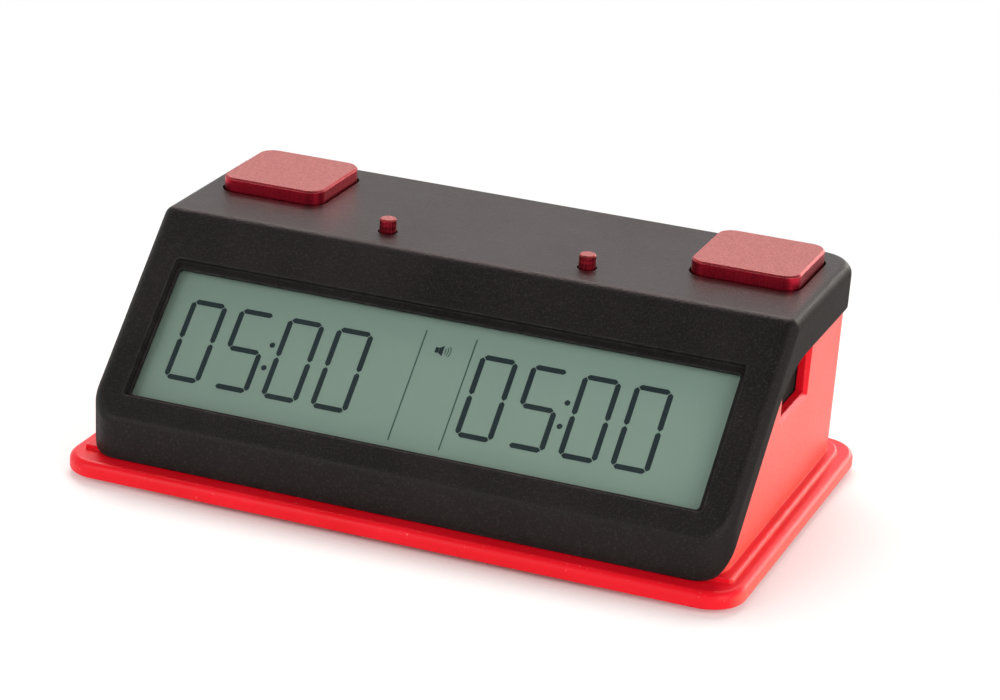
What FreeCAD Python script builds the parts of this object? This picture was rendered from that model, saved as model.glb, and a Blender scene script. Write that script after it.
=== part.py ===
import FreeCAD, Part
import math
import os

# Digital chess clock: a dark top cover with a sloped display face over a
# coloured base housing.  All sizes in millimetres.
# Origin: centre of the footprint on the table.  +X right along the length,
# +Y to the back, +Z up; the display faces -Y.

V = FreeCAD.Vector
UP = V(0, 0, 1)

# ---- driving dimensions ------------------------------------------------
LENGTH = 165.0            # flange, left to right
DEPTH = 101.4             # flange, front to back
TOP_Z = 53.8              # top face of the cover
FOOT_H = 1.2              # how far the feet stand out of the base
FLANGE_TOP = 5.1
FLANGE_R = 8.75
FLOOR_TOP = 3.1           # inside floor of the base

LIP_Y = -45.8             # outside of the low front lip
BACK_Y = 46.4             # outside of the cover's back
CREASE_Y = -4.92          # edge between the top and the display slope
SLOPE = 43.42             # degrees from horizontal
SIDE_X = 78.1             # half length of the cover at z = SIDE_Z
SIDE_Z = 10.0
SIDE_FLARE = 0.02         # the sides lean out by this much per mm of height
COVER_WALL = 2.2
FRONT_CORNER_R = 8.0
BACK_CORNER_R = 9.0
EDGE_R = 2.9

SKIRT_Z = 43.0            # lower edge of the cover's side skirt
LIP_Z = 5.35              # lower edge of the cover's front lip
BAND_FOOT_Y = -44.0
BAND_HEAD_Y = -8.0
SKIRT_SWEEP_R = 28.0
LIP_SWEEP_R = 5.0

BASE_INSET = 0.9          # base wall behind the cover's outer surface
TONGUE_INSET = 2.4
BASE_CAVITY = 3.6
TONGUE_H = 3.0
PLINTH_OUT = 2.3
PLINTH_TOP = 6.2

WINDOW_Y = (-8.0, 12.0)   # recess in each side wall, below the skirt
WINDOW_Z = 30.5
WINDOW_BEVEL = 1.0

VIEW_W = 138.9            # visible display
VIEW_H = 33.95
VIEW_TOP = 14.96          # down the slope from the crease
VIEW_R = 0.9

CAP_X = 59.7              # player buttons
CAP_Y = 25.6
CAP_SIZE = 26.3
CAP_R = 4.0
CAP_TOP = 57.2
CAP_BOTTOM = 51.9
CAP_GAP = 0.5
CAP_TRAVEL = 1.6

SET_X = 25.0              # small setting buttons
SET_Y = 4.6
SET_R = 2.0
SET_TOP = 57.1
SET_TRAVEL = 0.6

BOARD_Z = 42.0            # underside of the switch board
BOARD_T = 1.6
SWITCH_BOARD_X = 71.0
SWITCH_BOARD_Y = (0.0, 40.5)

CELL_R = 7.15             # AA cells
CELL_BODY = 49.2
CELL_NUB = 1.0
CELL_Y = (10.5, 26.5)
CELL_Z = 10.8
BAY_X = 28.5              # battery bay, inside half length
BAY_Y = (2.5, 34.5)
BAY_TOP = 19.2
BAY_WALL = 1.5

DOOR_PIN_Y = 1.5
DOOR_PIN_Z = 2.2
DOOR_PIN_R = 0.6
DOOR_PIN_X = 15.0

FRONT_SCREW = (55.0, -40.6)
REAR_SCREW = (40.0, 37.0)
REAR_POST_TOP = 22.0
SCREW_SHANK_R = 1.2
SCREW_SHANK = 7.0
SCREW_HEAD_R = 2.4
SCREW_HEAD = 1.8

BOARD_SCREWS = [(66.0, 4.5), (38.0, 16.0), (12.0, 36.0)]
DISPLAY_SCREWS_TOP = [20.0, 60.0]
DISPLAY_SCREWS_LOW = [40.0]
DISPLAY_SCREW_TOP_Y = -8.6
DISPLAY_SCREW_LOW_Y = -53.4
SMALL_SHANK_R = 1.0
SMALL_HEAD_R = 1.9

# depths below the slope's outer face
WINDOW_D = (2.3, 3.3)
LCD_D = (3.5, 5.7)
REFLECTOR_D = (5.75, 6.05)
HOLDER_D = (2.35, 9.4)
DISPLAY_BOARD_D = (9.5, 11.1)
DISPLAY_BOARD_X = 71.5
DISPLAY_BOARD_Y = (-54.3, -6.6)

FOOT_X = 72.0
FOOT_Y = 41.0
FOOT_R = 5.5


# ---- helpers -----------------------------------------------------------
def box(x, y, z):
    """Box from three (low, high) pairs."""
    size = (x[1] - x[0], y[1] - y[0], z[1] - z[0])
    return Part.makeBox(*size, V(x[0], y[0], z[0]))


def rod(radius, x, y, z):
    """Upright cylinder between two heights."""
    return Part.makeCylinder(radius, z[1] - z[0], V(x, y, z[0]), UP)


def rod_x(radius, x, y, z):
    """Cylinder along X between two x values."""
    return Part.makeCylinder(radius, x[1] - x[0], V(x[0], y, z), V(1, 0, 0))


def edges_where(shape, test):
    """Edges whose middle point and direction pass the test."""
    found = []
    for edge in shape.Edges:
        middle = edge.valueAt((edge.FirstParameter + edge.LastParameter) / 2)
        ends = edge.Vertexes[-1].Point - edge.Vertexes[0].Point
        if test(middle, ends):
            found.append(edge)
    return found


def upright(middle, ends):
    return abs(ends.z) > 0.9 * ends.Length and ends.Length > 0.01


def rounded_box(x, y, z, radius):
    """Box with rounded upright edges."""
    solid = box(x, y, z)
    return solid.makeFillet(radius, edges_where(solid, upright))


def fuse(shapes):
    solid = shapes[0]
    for other in shapes[1:]:
        solid = solid.fuse(other)
    return solid.removeSplitter()


def cut(shape, tools):
    for tool in tools:
        shape = shape.cut(tool)
    return shape


def mirrored(shape):
    """Copy on the other side of the clock's middle plane."""
    return shape.mirror(V(0, 0, 0), V(1, 0, 0))


def both_sides(shape):
    return [shape, mirrored(shape)]


def on_slope(shape):
    """Move a shape built flat (x, up the slope, outward) onto the slope."""
    placed = shape.copy()
    placed.rotate(V(0, 0, 0), V(1, 0, 0), SLOPE)
    placed.translate(V(0, CREASE_Y, TOP_Z))
    return placed


def slope_box(x, y, depth, radius=0):
    """Box on the slope between two depths below its outer face."""
    z = (-depth[1], -depth[0])
    if radius:
        return on_slope(rounded_box(x, y, z, radius))
    return on_slope(box(x, y, z))


def slope_rod(radius, x, y, depth):
    return on_slope(rod(radius, x, y, (-depth[1], -depth[0])))


def rounded_path(points, radii):
    """Straight runs joined by tangent arcs, one radius per inner point."""
    edges = []
    start = points[0]
    for before, corner, after, radius in zip(points, points[1:], points[2:], radii):
        into = (corner - before).normalize()
        out = (after - corner).normalize()
        turn = into.getAngle(out)
        if radius == 0 or turn < 1e-4:
            edges.append(Part.makeLine(start, corner))
            start = corner
            continue
        run = radius * math.tan(turn / 2)
        first = corner - into * run
        last = corner + out * run
        inward = (out - into).normalize()
        middle = corner + inward * (radius / math.cos(turn / 2) - radius)
        edges.append(Part.makeLine(start, first))
        edges.append(Part.Arc(first, middle, last).toShape())
        start = last
    edges.append(Part.makeLine(start, points[-1]))
    return Part.Wire(edges)


def swept(path, section):
    """Solid made by carrying a section wire along a path."""
    return path.makePipeShell([section], True, True)


def round_lead(points, bend, radius):
    """Round wire along a bent route."""
    path = rounded_path(points, [bend] * (len(points) - 2))
    along = (points[1] - points[0]).normalize()
    ring = Part.Wire([Part.makeCircle(radius, points[0], along)])
    return swept(path, ring)


def coil(radius, wire, z, turns):
    """Compression spring standing on the Z axis."""
    low = z[0] + wire
    high = z[1] - wire
    path = Part.makeLongHelix((high - low) / turns, high - low, radius)
    path.translate(V(0, 0, low))
    ring = Part.Wire([Part.makeCircle(wire, V(radius, 0, low), V(0, 1, 0))])
    return Part.Wire(path.Edges).makePipeShell([ring], True, True)


# ---- the two housing halves ---------------------------------------------
def side_x(z, inset):
    """Half length of the body at a height, moved in by an inset."""
    return SIDE_X + SIDE_FLARE * (z - SIDE_Z) - inset


def body(inset, bottom):
    """The clock's outer form, moved in by an inset, with round corners."""
    tilt = math.radians(SLOPE)
    sine = math.sin(tilt)
    cosine = math.cos(tilt)
    plane = cosine * TOP_Z - sine * CREASE_Y - inset
    front = LIP_Y + inset
    back = BACK_Y - inset
    top = TOP_Z - inset
    lip_top = (plane + sine * front) / cosine
    crease = (cosine * top - plane) / sine
    outline = [(front, bottom), (front, lip_top), (crease, top), (back, top), (back, bottom)]
    points = [V(-100, y, z) for y, z in outline + outline[:1]]
    solid = Part.Face(Part.makePolygon(points)).extrude(V(200, 0, 0))
    low = side_x(bottom, inset)
    high = side_x(top + 5, inset)
    ends = [(-low, bottom), (low, bottom), (high, top + 5), (-high, top + 5)]
    points = [V(x, -80, z) for x, z in ends + ends[:1]]
    solid = solid.common(Part.Face(Part.makePolygon(points)).extrude(V(0, 160, 0)))

    def corner_at(y):
        return lambda m, e: abs(m.y - y) < 0.01 and abs(m.x) > 60 and abs(e.z) > 0.9 * e.Length

    solid = solid.makeFillet(max(FRONT_CORNER_R - inset, 2.0), edges_where(solid, corner_at(front)))
    return solid.makeFillet(BACK_CORNER_R - inset, edges_where(solid, corner_at(back)))


def below_seam(shift):
    """Everything below the seam between cover and base, as seen from the side."""
    outline = [(-70, -10), (-70, LIP_Z), (BAND_FOOT_Y, LIP_Z), (BAND_HEAD_Y, SKIRT_Z), (70, SKIRT_Z), (70, -10)]
    points = [V(-100, y, z + shift) for y, z in outline]
    seam = rounded_path(points, [0, LIP_SWEEP_R, SKIRT_SWEEP_R, 0])
    closing = Part.makeLine(points[-1], points[0])
    return Part.Face(Part.Wire(seam.Edges + [closing])).extrude(V(200, 0, 0))


def outer_form():
    """Cover's outside with every upper edge rounded."""
    solid = body(0, 0)

    def upper(middle, ends):
        return middle.z > 14.5

    return solid.makeFillet(EDGE_R, edges_where(solid, upper))


def side_slab(inset, y, z):
    """Flared slab standing along the right side wall."""
    outline = [
        (side_x(z[0], inset[1]), z[0]),
        (side_x(z[0], inset[0]), z[0]),
        (side_x(z[1], inset[0]), z[1]),
        (side_x(z[1], inset[1]), z[1]),
    ]
    points = [V(x, y[0], height) for x, height in outline + outline[:1]]
    return Part.Face(Part.makePolygon(points)).extrude(V(0, y[1] - y[0], 0))


def display_openings():
    """Stepped opening for the display in the slope."""
    half = VIEW_W / 2
    low = -(VIEW_TOP + VIEW_H)
    inner = slope_box((-half, half), (low, -VIEW_TOP), (-2, 4), VIEW_R)
    outer = slope_box((-half - 1.1, half + 1.1), (low - 0.9, 2.0 - VIEW_TOP), (-2, 1.2), VIEW_R)
    return [inner, outer]


def button_openings():
    half = CAP_SIZE / 2 + CAP_GAP
    square = rounded_box((CAP_X - half, CAP_X + half), (CAP_Y - half, CAP_Y + half), (48, 60), CAP_R + CAP_GAP)
    small = rod(SET_R + 0.35, SET_X, SET_Y, (48, 60))
    return both_sides(square) + both_sides(small)


def cover_bosses():
    """Screw bosses hanging from the cover, already drilled."""
    parts = []
    drills = []
    for x, y in BOARD_SCREWS:
        parts += both_sides(rod(2.5, x, y, (BOARD_Z + BOARD_T, TOP_Z - 1)))
        drills += both_sides(rod(SMALL_SHANK_R + 0.05, x, y, (40, TOP_Z - 3)))
    x, y = REAR_SCREW
    parts += both_sides(rod(3.4, x, y, (REAR_POST_TOP + 0.2, TOP_Z - 1)))
    drills += both_sides(rod(SCREW_SHANK_R + 0.05, x, y, (20, REAR_POST_TOP + 8)))
    x, y = FRONT_SCREW
    parts += both_sides(rod(2.3, x, y, (5.3, 10.5)))
    parts += both_sides(box((x - 0.8, x + 0.8), (LIP_Y + 1.9, y - 1.6), (5.4, 10.5)))
    drills += both_sides(rod(SCREW_SHANK_R + 0.05, x, y, (4, 12)))
    for x in DISPLAY_SCREWS_TOP:
        parts += both_sides(slope_rod(2.1, x, DISPLAY_SCREW_TOP_Y, (1, DISPLAY_BOARD_D[0])))
        drills += both_sides(slope_rod(SMALL_SHANK_R + 0.05, x, DISPLAY_SCREW_TOP_Y, (3.2, 12)))
    for x in DISPLAY_SCREWS_LOW:
        parts += both_sides(slope_rod(1.8, x, DISPLAY_SCREW_LOW_Y, (1, DISPLAY_BOARD_D[0])))
        drills += both_sides(slope_rod(SMALL_SHANK_R + 0.05, x, DISPLAY_SCREW_LOW_Y, (3.2, 12)))
    return parts, drills


def top_cover():
    form = outer_form()
    shell = form.cut(body(COVER_WALL, -5)).cut(below_seam(0))
    parts, drills = cover_bosses()
    apron = side_slab((3.9, 5.0), (WINDOW_Y[0] - 0.8, WINDOW_Y[1] + 0.8), (WINDOW_Z - 3, TOP_Z - 1))
    parts += both_sides(apron)
    inside = body(0.8, -5)
    added = [piece.common(inside) for piece in parts]
    shell = fuse([shell] + added)
    return cut(shell, display_openings() + button_openings() + drills)


def flange():
    plate = rounded_box(
        (-LENGTH / 2, LENGTH / 2), (-DEPTH / 2, DEPTH / 2), (FOOT_H, FLANGE_TOP), FLANGE_R
    )
    top_rim = edges_where(plate, lambda m, e: abs(m.z - FLANGE_TOP) < 0.01)
    plate = plate.makeFillet(1.9, top_rim)
    low_rim = edges_where(plate, lambda m, e: abs(m.z - FOOT_H) < 0.01)
    return plate.makeFillet(0.5, low_rim)


def plinth():
    """Low step around the foot of the base wall."""
    half = side_x(FLANGE_TOP, BASE_INSET) + PLINTH_OUT
    back = BACK_Y - BASE_INSET + PLINTH_OUT
    step = rounded_box((-half, half), (-60, back), (FLANGE_TOP - 1, PLINTH_TOP), 9.5)
    rim = edges_where(step, lambda m, e: abs(m.z - PLINTH_TOP) < 0.01)
    step = step.makeFillet(0.9, rim)
    keep = body(-PLINTH_OUT, -5).cut(box((-90, 90), (-60, -43.2), (-6, 20)))
    return step.common(keep)


def bay_shell():
    """Battery bay walls and roof standing on the base floor."""
    outer = box(
        (-BAY_X - BAY_WALL, BAY_X + BAY_WALL),
        (BAY_Y[0] - BAY_WALL, BAY_Y[1] + BAY_WALL),
        (FLOOR_TOP - 1, BAY_TOP + BAY_WALL),
    )
    return outer


def bay_cuts():
    cavity = box((-BAY_X, BAY_X), BAY_Y, (0, BAY_TOP))
    slots = [
        box((27.7, 28.5), (y - 2.2, y + 2.2), (BAY_TOP - 1, BAY_TOP + 3)) for y in CELL_Y
    ]
    pins = [
        rod_x(DOOR_PIN_R + 0.08, (x - 4.2, x + 4.2), DOOR_PIN_Y, DOOR_PIN_Z)
        for x in (-DOOR_PIN_X, DOOR_PIN_X)
    ]
    necks = [
        box((x - 2.3, x + 2.3), (0.6, BAY_Y[0] + 0.1), (0, 3.3)) for x in (-DOOR_PIN_X, DOOR_PIN_X)
    ]
    catch = box((-6.4, 6.4), (BAY_Y[1] - 0.1, BAY_Y[1] + 1.0), (0, 3.2))
    return [cavity, catch, hinge_relief()] + slots + pins + necks


def hinge_relief():
    """Bevel along the bay's lower front edge, where the opening door swings past."""
    y = BAY_Y[0]
    outline = [
        (y - 0.45, FOOT_H),
        (y - 0.45, FOOT_H - 0.5),
        (y + 0.05, FOOT_H - 0.5),
        (y + 0.05, FOOT_H + 0.5),
        (y, FOOT_H + 0.45),
    ]
    points = [V(-BAY_X, a, z) for a, z in outline + outline[:1]]
    return Part.Face(Part.makePolygon(points)).extrude(V(2 * BAY_X, 0, 0))


def side_windows():
    """Recess through each side wall, bevelled round its outer edge."""
    through = box((66, 90), WINDOW_Y, (WINDOW_Z, 70))
    rings = []
    for x, grow in ((76.7, 0.0), (78.2, 1.5 * WINDOW_BEVEL)):
        low, high = WINDOW_Y[0] - grow, WINDOW_Y[1] + grow
        corners = [(low, WINDOW_Z - grow), (high, WINDOW_Z - grow), (high, 70), (low, 70)]
        points = [V(x, y, z) for y, z in corners + corners[:1]]
        rings.append(Part.makePolygon(points))
    return both_sides(through) + both_sides(Part.makeLoft(rings, True, True))


def divider_rib():
    """Low rib between the two cells, hanging from the bay roof."""
    middle = sum(CELL_Y) / 2
    return box((-BAY_X - 0.5, BAY_X + 0.5), (middle - 0.45, middle + 0.45), (13.5, BAY_TOP + 0.5))


def screw_posts():
    x, y = REAR_SCREW
    posts = both_sides(rod(4.0, x, y, (FLOOR_TOP - 1, REAR_POST_TOP)))
    holes = both_sides(rod(2.8, x, y, (0, REAR_POST_TOP - 4)))
    holes += both_sides(rod(SCREW_SHANK_R + 0.15, x, y, (0, REAR_POST_TOP + 1)))
    x, y = FRONT_SCREW
    posts += both_sides(rod(3.7, x, y, (FLOOR_TOP - 1, FLANGE_TOP - 0.1)))
    holes += both_sides(rod(2.8, x, y, (0, 3.3)))
    holes += both_sides(rod(SCREW_SHANK_R + 0.15, x, y, (0, 6)))
    return posts, holes


def base_housing():
    wall = body(BASE_INSET, FLANGE_TOP - 1).common(below_seam(-0.2))
    tongue = body(TONGUE_INSET, FLANGE_TOP - 1).common(below_seam(TONGUE_H))
    shell = fuse([flange(), plinth(), wall, tongue])
    shell = shell.cut(body(BASE_CAVITY, FLOOR_TOP))
    windows = side_windows()
    x, y = FRONT_SCREW
    notches = both_sides(box((x - 3.4, x + 3.4), (-44, -41), (FLANGE_TOP, 12)))
    shell = cut(shell, windows + notches)
    posts, holes = screw_posts()
    shell = fuse([shell, bay_shell()] + posts)
    shell = cut(shell, bay_cuts() + holes)
    shell = fuse([shell, divider_rib()])
    seats = [rod(FOOT_R + 0.1, x, y, (0, FOOT_H + 0.6)) for x, y in foot_places()]
    return cut(shell, seats)


# ---- display stack -------------------------------------------------------
def display_window():
    return slope_box((-71.0, 71.0), (-51.0, -12.8), WINDOW_D, 3.0)


def lcd_panel():
    front = slope_box((-70.9, 70.9), (-50.9, -12.9), (LCD_D[0], LCD_D[0] + 1.1))
    rear = slope_box((-70.9, 70.9), (-48.6, -15.2), (LCD_D[0] + 1.1, LCD_D[1]))
    return fuse([front, rear])


def lcd_reflector():
    return slope_box((-66.0, 66.0), (-44.5, -19.6), REFLECTOR_D)


def lcd_holder():
    """Open frame that carries the window and the panel against the cover."""
    frame = slope_box((-72.2, 72.2), (-51.5, -11.4), HOLDER_D, 1.5)
    pocket = slope_box((-71.2, 71.2), (-51.2, -12.6), (0, 5.8))
    through = slope_box((-66.8, 66.8), (-47.0, -17.0), (0, 12))
    return cut(frame, [pocket, through])


def contact_strips():
    """Springy conductive strips between the panel and the board."""
    low = slope_box((-60, 60), (-46.8, -45.0), (5.75, 9.45))
    high = slope_box((-60, 60), (-19.2, -17.4), (5.75, 9.45))
    return Part.makeCompound([low, high])


def display_board():
    board = slope_box((-DISPLAY_BOARD_X, DISPLAY_BOARD_X), DISPLAY_BOARD_Y, DISPLAY_BOARD_D, 1.5)
    holes = []
    for x in DISPLAY_SCREWS_TOP:
        holes += both_sides(slope_rod(SMALL_SHANK_R + 0.15, x, DISPLAY_SCREW_TOP_Y, (5, 15)))
    for x in DISPLAY_SCREWS_LOW:
        holes += both_sides(slope_rod(SMALL_SHANK_R + 0.15, x, DISPLAY_SCREW_LOW_Y, (5, 15)))
    return cut(board, holes)


def small_screw(length):
    """Pan-head screw, head at the origin, shank up +Z."""
    head = Part.makeCylinder(SMALL_HEAD_R, 1.3, V(0, 0, -1.3), UP)
    head = head.makeFillet(0.5, edges_where(head, lambda m, e: m.z < -1.2))
    slots = [box((-1.2, 1.2), (-0.25, 0.25), (-2, -0.6)), box((-0.25, 0.25), (-1.2, 1.2), (-2, -0.6))]
    shank = Part.makeCylinder(SMALL_SHANK_R, length, V(0, 0, -0.1), UP)
    return cut(fuse([head, shank]), slots)


def display_board_screws():
    places = [(x, DISPLAY_SCREW_TOP_Y) for x in DISPLAY_SCREWS_TOP]
    places += [(x, DISPLAY_SCREW_LOW_Y) for x in DISPLAY_SCREWS_LOW]
    screws = []
    for x, y in places:
        screw = small_screw(6.0)
        screw.translate(V(x, y, -DISPLAY_BOARD_D[1] - 0.02))
        screws += both_sides(on_slope(screw))
    return Part.makeCompound(screws)


def controller_chip():
    deep = DISPLAY_BOARD_D[1]
    bodies = [slope_box((22, 36), (-40, -26), (deep + 0.15, deep + 1.7))]
    for index in range(9):
        x = 23.4 + index * 1.4
        bodies.append(slope_box((x, x + 0.5), (-41.4, -24.6), (deep + 0.02, deep + 0.3)))
        y = -38.8 + index * 1.4
        bodies.append(slope_box((20.6, 37.4), (y, y + 0.5), (deep + 0.02, deep + 0.3)))
    return fuse(bodies)


def crystal():
    deep = DISPLAY_BOARD_D[1]
    can = slope_box((42, 52.5), (-35.5, -31), (deep + 0.02, deep + 3.5), 2.2)
    return can


def board_capacitors():
    """Two upright electrolytic capacitors on the display board."""
    deep = DISPLAY_BOARD_D[1]
    cans = [slope_rod(2.5, x, -30, (deep + 0.02, deep + 7)) for x in (-30, -38)]
    return Part.makeCompound(cans)


# ---- cable between the boards ---------------------------------------------
def ribbon_route():
    """Centre line of the flat cable in the clock's middle plane."""
    tilt = math.radians(SLOPE)
    inward = V(0, math.sin(tilt), -math.cos(tilt))
    down = V(0, -math.cos(tilt), -math.sin(tilt))
    start = V(0, CREASE_Y, TOP_Z) + down * 18 + inward * (DISPLAY_BOARD_D[1] + 3.05)
    knee = start + inward * 7
    corner = V(0, 10, knee.z)
    return [start, knee, corner, V(0, 10, BOARD_Z - 3.05)]


def ribbon_cable():
    points = ribbon_route()
    path = rounded_path(points, [3.0, 4.0])
    tilt = math.radians(SLOPE)
    across = V(0, math.cos(tilt), math.sin(tilt)) * 0.3
    half = V(6.3, 0, 0)
    start = points[0]
    ring = [start - half - across, start + half - across, start + half + across, start - half + across]
    return swept(path, Part.makePolygon(ring + ring[:1]))


def ribbon_connectors():
    deep = DISPLAY_BOARD_D[1]
    lower = slope_box((-8, 8), (-20.2, -15.8), (deep + 0.02, deep + 3))
    upper = box((-8, 8), (7.8, 12.2), (BOARD_Z - 3, BOARD_Z - 0.02))
    return Part.makeCompound([lower, upper])


# ---- switch board and buttons ----------------------------------------------
def switch_board():
    board = rounded_box(
        (-SWITCH_BOARD_X, SWITCH_BOARD_X), SWITCH_BOARD_Y, (BOARD_Z, BOARD_Z + BOARD_T - 0.03), 1.5
    )
    x, y = REAR_SCREW
    holes = both_sides(rod(4.0, x, y, (40, 46)))
    holes += both_sides(box((x - 4, x + 4), (y, 45), (40, 46)))
    for x, y in BOARD_SCREWS:
        holes += both_sides(rod(SMALL_SHANK_R + 0.15, x, y, (40, 46)))
    return cut(board, holes)


def switch_board_screws():
    screws = []
    for x, y in BOARD_SCREWS:
        screw = small_screw(5.5)
        screw.translate(V(x, y, BOARD_Z - 0.02))
        screws += both_sides(screw)
    return Part.makeCompound(screws)


def button_cap():
    half = CAP_SIZE / 2
    cap = rounded_box((CAP_X - half, CAP_X + half), (CAP_Y - half, CAP_Y + half), (CAP_BOTTOM, CAP_TOP), CAP_R)
    rim = edges_where(cap, lambda m, e: abs(m.z - CAP_TOP) < 0.01)
    cap = cap.makeChamfer(0.45, rim)
    socket = rounded_box((CAP_X - 9, CAP_X + 9), (CAP_Y - 9, CAP_Y + 9), (CAP_BOTTOM - 1, CAP_BOTTOM + 2.2), 1.5)
    return cap.cut(socket)


def button_plunger():
    """Plastic carrier under a cap: boss, retaining flange, guide post and pad."""
    boss = rounded_box((CAP_X - 8.95, CAP_X + 8.95), (CAP_Y - 8.95, CAP_Y + 8.95), (51, CAP_BOTTOM + 2.1), 1.45)
    wide = rounded_box((CAP_X - 14.4, CAP_X + 14.4), (CAP_Y - 14.4, CAP_Y + 14.4), (50.1, 51.3), 5.0)
    post = rod(2.7, CAP_X, CAP_Y, (45.4, 50.5))
    pad = rod(1.5, CAP_X, CAP_Y - 9, (49.85, 50.5))
    return fuse([boss, wide, post, pad])


def button_spring():
    spring = coil(4.3, 0.35, (BOARD_Z + BOARD_T, 50.08), 4.5)
    spring.translate(V(CAP_X, CAP_Y, 0))
    return spring


def button_guides():
    low = BOARD_Z + BOARD_T
    tube = rod(3.6, CAP_X, CAP_Y, (low, low + 2.9)).cut(rod(2.78, CAP_X, CAP_Y, (low - 1, low + 4)))
    return Part.makeCompound(both_sides(tube))


def tact_switch(x, y, top):
    """Square push switch on the switch board."""
    low = BOARD_Z + BOARD_T
    case = rounded_box((x - 3, x + 3), (y - 3, y + 3), (low, top - 0.8), 0.5)
    key = rod(1.6, x, y, (top - 1, top))
    return fuse([case, key])


def player_switches():
    return Part.makeCompound(both_sides(tact_switch(CAP_X, CAP_Y - 9, 48.2)))


def set_switches():
    return Part.makeCompound(both_sides(tact_switch(SET_X, SET_Y, 47.6)))


def set_button():
    """Small turned push button with fine grooves around its side."""
    button = rod(SET_R, SET_X, SET_Y, (51, SET_TOP))
    rim = edges_where(button, lambda m, e: abs(m.z - SET_TOP) < 0.01)
    button = button.makeChamfer(0.3, rim)
    collar = rod(3.1, SET_X, SET_Y, (50.1, 51.3))
    stem = rod(1.5, SET_X, SET_Y, (47.6 + SET_TRAVEL + 0.05, 50.5))
    grooves = []
    for index in range(16):
        turn = math.radians(index * 22.5)
        x = SET_X + (SET_R + 0.08) * math.cos(turn)
        y = SET_Y + (SET_R + 0.08) * math.sin(turn)
        grooves.append(rod(0.16, x, y, (53.4, SET_TOP + 1)))
    return cut(fuse([button, collar, stem]), grooves)


def buzzer():
    can = rod(6.0, -22, 26, (BOARD_Z - 8.5, BOARD_Z - 0.02))
    rim = edges_where(can, lambda m, e: m.z < BOARD_Z - 8)
    can = can.makeFillet(0.6, rim)
    return can.cut(rod(1.0, -22, 26, (BOARD_Z - 10, BOARD_Z - 6)))


# ---- batteries ---------------------------------------------------------------
def battery_cell(y, direction):
    """AA cell lying along X with its terminal towards the given side."""
    tip = direction * (BAY_X - 0.6)
    shoulder = tip - direction * CELL_NUB
    end = shoulder - direction * CELL_BODY
    case = rod_x(CELL_R, (min(shoulder, end), max(shoulder, end)), y, CELL_Z)
    case = case.makeFillet(0.7, edges_where(case, lambda m, e: abs(e.x) < 1))
    nub = rod_x(2.7, (min(tip, shoulder - direction * 0.5), max(tip, shoulder - direction * 0.5)), y, CELL_Z)
    return fuse([case, nub])


def battery_springs():
    """Contact springs at the flat end of each cell."""
    springs = []
    for y, direction in zip(CELL_Y, (1, -1)):
        wall = -direction * (BAY_X - 0.5)
        face = direction * (BAY_X - 0.6 - CELL_NUB - CELL_BODY)
        spring = coil(3.6, 0.35, (0.02, abs(face - wall) - 0.02), 3.5)
        spring.rotate(V(0, 0, 0), V(0, 1, 0), 90 * direction)
        spring.translate(V(wall, y, CELL_Z))
        springs.append(spring)
    return Part.makeCompound(springs)


def battery_contacts():
    """Two tagged plates at one end and a bridging plate at the other."""
    plates = []
    for y in CELL_Y:
        plate = box((BAY_X - 0.45, BAY_X - 0.05), (y - 5, y + 5), (5.5, 16.5))
        tag = box((BAY_X - 0.45, BAY_X - 0.05), (y - 1.6, y + 1.6), (16, BAY_TOP + 4))
        plates.append(fuse([plate, tag]))
    bridge = box((0.05 - BAY_X, 0.45 - BAY_X), (CELL_Y[0] - 5, CELL_Y[1] + 5), (5.5, 13.2))
    return Part.makeCompound(plates + [bridge])


def battery_lead(y, socket_x):
    """Insulated lead from a contact tag up to the connector."""
    x = BAY_X + 0.6
    points = [
        V(x, y, BAY_TOP + 2.4),
        V(x, y, 30),
        V(socket_x, 18, 31.5),
        V(socket_x, 18, BOARD_Z - 6.03),
    ]
    return round_lead(points, 2.2, 0.6)


def battery_connector():
    return box((10.5, 17.5), (15.6, 20.4), (BOARD_Z - 6, BOARD_Z - 0.02))


def battery_door():
    panel = rounded_box((-28.2, 28.2), (2.8, 34.2), (FOOT_H, FLOOR_TOP - 0.1), 0.8)
    tongue = box((-6, 6), (33.8, 35.2), (FOOT_H + 0.5, FLOOR_TOP - 0.1))
    parts = [panel, tongue]
    for x in (-DOOR_PIN_X, DOOR_PIN_X):
        parts.append(rod_x(DOOR_PIN_R, (x - 3.9, x + 3.9), DOOR_PIN_Y, DOOR_PIN_Z))
        parts.append(box((x - 2, x + 2), (DOOR_PIN_Y, 3.2), (DOOR_PIN_Z - 0.6, DOOR_PIN_Z + 0.6)))
    ridges = [box((-8, 8), (y, y + 1), (0, FOOT_H + 0.45)) for y in (26, 28, 30)]
    return cut(fuse(parts), ridges)


# ---- feet and case screws -------------------------------------------------------
def foot_places():
    return [(x, y) for y in (-FOOT_Y, FOOT_Y) for x in (-FOOT_X, FOOT_X)]


def rubber_foot(x, y):
    foot = rod(FOOT_R, x, y, (0, FOOT_H + 0.55))
    rim = edges_where(foot, lambda m, e: m.z < 0.01)
    return foot.makeFillet(0.4, rim)


def case_screw():
    """Pan-head screw, head below the origin, shank up +Z."""
    head = Part.makeCylinder(SCREW_HEAD_R, SCREW_HEAD, V(0, 0, -SCREW_HEAD), UP)
    head = head.makeFillet(0.7, edges_where(head, lambda m, e: m.z < -1.7))
    shank = Part.makeCylinder(SCREW_SHANK_R, SCREW_SHANK + 0.1, V(0, 0, -0.1), UP)
    slots = [box((-1.5, 1.5), (-0.3, 0.3), (-3, -0.8)), box((-0.3, 0.3), (-1.5, 1.5), (-3, -0.8))]
    return cut(fuse([head, shank]), slots)


def case_screws():
    screws = []
    for (x, y), seat in ((FRONT_SCREW, 3.3), (REAR_SCREW, REAR_POST_TOP - 4)):
        screw = case_screw()
        screw.translate(V(x, y, seat - 0.02))
        screws += both_sides(screw)
    return Part.makeCompound(screws)


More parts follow.
